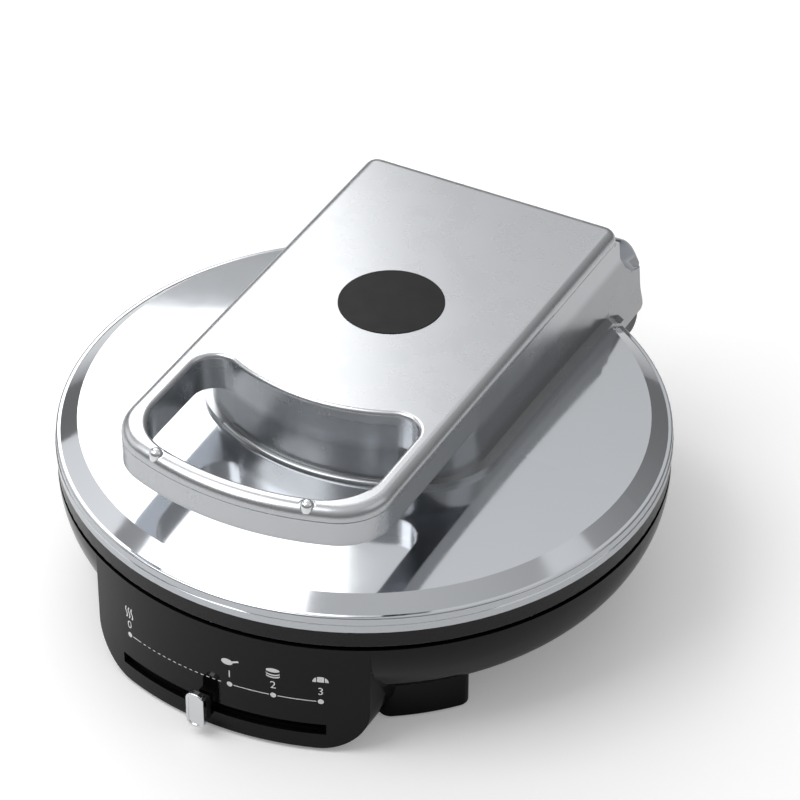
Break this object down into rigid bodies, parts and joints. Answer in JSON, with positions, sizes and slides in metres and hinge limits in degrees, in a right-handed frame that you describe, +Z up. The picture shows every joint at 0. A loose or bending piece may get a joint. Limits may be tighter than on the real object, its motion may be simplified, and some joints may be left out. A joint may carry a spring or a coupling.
{
  "type": "electric baking pan",
  "caption": "Round electric baking pan: a hinged, floating lid with a wide loop handle closes on a black base with a curved front panel and mode slider.",
  "frame": {"origin": "on the axis of the round plates at table height, under the middle of the pan", "axes": "+Z up, the front panel faces -Y, the hinge is at +Y, +X to the right seen from the front"},
  "size_m": [0.34, 0.3612, 0.1555],
  "materials": {
    "black_plastic": "high-gloss black",
    "black_matt_plastic": "satin black",
    "plated_shell": "silver plating, satin to bright",
    "chrome_trim": "bright chrome",
    "badge_black": "black lacquer",
    "coated_aluminium": "dark non-stick coating",
    "steel_sheet": "bare sheet",
    "screw_steel": "zinc plated",
    "heater_tube": "heat-darkened tube",
    "brass_parts": "bare brass",
    "light_plastic": "heat-resistant off-white",
    "board": "brown laminate",
    "rubber": "moulded"
  },
  "bodies": {
    "base": {"base_shell": "black_plastic", "bottom_cover": "steel_sheet", "bottom_screws": "screw_steel", "rubber_feet": "rubber", "lower_plate": "coated_aluminium", "lower_heater": "heater_tube", "lower_heat_shield": "steel_sheet", "lower_plate_screws": "screw_steel", "lower_thermostat": "brass_parts", "thermal_fuse": "brass_parts", "terminal_block": "light_plastic", "mains_gland": "black_matt_plastic", "selector_track": "black_matt_plastic", "track_screws": "screw_steel", "selector_board": "board"},
    "slider": {"slider_carriage": "black_matt_plastic", "contact_spring": "brass_parts", "slider_paddle": "chrome_trim"},
    "hinge_link": {"hinge_pins": "screw_steel", "hinge_blocks": "screw_steel"},
    "lid": {"lid_frame": "black_plastic", "frame_screws": "screw_steel", "lid_shell": "plated_shell", "upper_plate": "coated_aluminium", "upper_heater": "heater_tube", "upper_thermostat": "brass_parts", "upper_heat_shield": "steel_sheet", "upper_plate_screws": "screw_steel", "handle_base": "plated_shell", "handle_cover": "plated_shell", "handle_screws": "screw_steel", "badge_disc": "badge_black", "rest_studs": "chrome_trim"}
  },
  "joints": [
    {"name": "lid_hinge", "type": "hinge", "parent": "base", "child": "hinge_link", "pos_m": [0, 0.172, 0.07975], "axis": [-1, 0, 0], "range_deg": [0, 180]},
    {"name": "lid_float", "type": "slide", "parent": "hinge_link", "child": "lid", "axis": [0, 0, 1], "range_m": [0, 0.004]},
    {"name": "mode_slider", "type": "hinge", "parent": "base", "child": "slider", "pos_m": [0, 0, 0.015], "axis": [0, 0, 1], "range_deg": [-17.7, 22.4]}
  ]
}
